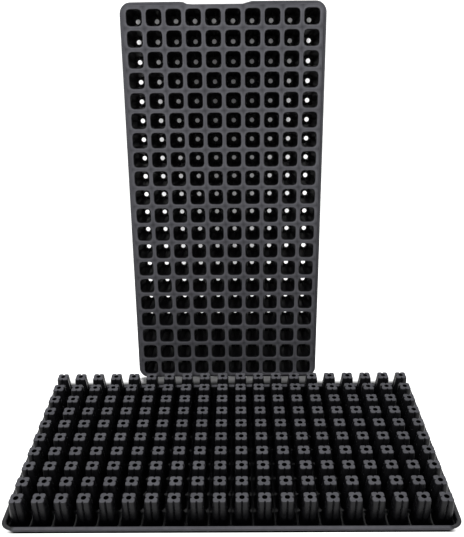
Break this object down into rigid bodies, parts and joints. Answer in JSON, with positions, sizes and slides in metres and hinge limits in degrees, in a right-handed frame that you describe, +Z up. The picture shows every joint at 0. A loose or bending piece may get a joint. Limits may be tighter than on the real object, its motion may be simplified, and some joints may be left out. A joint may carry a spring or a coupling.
{
  "type": "plug tray pair",
  "caption": "Pair of black formed-sheet plug trays for seedlings, one upside down on its deck and one standing on its short end, leaning back.",
  "frame": {"origin": "middle of the upturned tray's deck face, on the surface that both trays stand on", "axes": "+Z up, +X along the upturned tray, +Y from the upturned tray towards the standing one"},
  "size_m": [0.54, 0.4589, 0.5263],
  "materials": {
    "black_polystyrene": "satin formed sheet"
  },
  "bodies": {
    "upturned_tray": {"upturned_tray": "black_polystyrene"},
    "standing_tray": {"standing_tray": "black_polystyrene"}
  },
  "joints": [
    {"name": "standing_tray_lift", "type": "slide", "parent": "upturned_tray", "child": "standing_tray", "axis": [0, 0, 1], "range_m": [0, 0.15]}
  ]
}
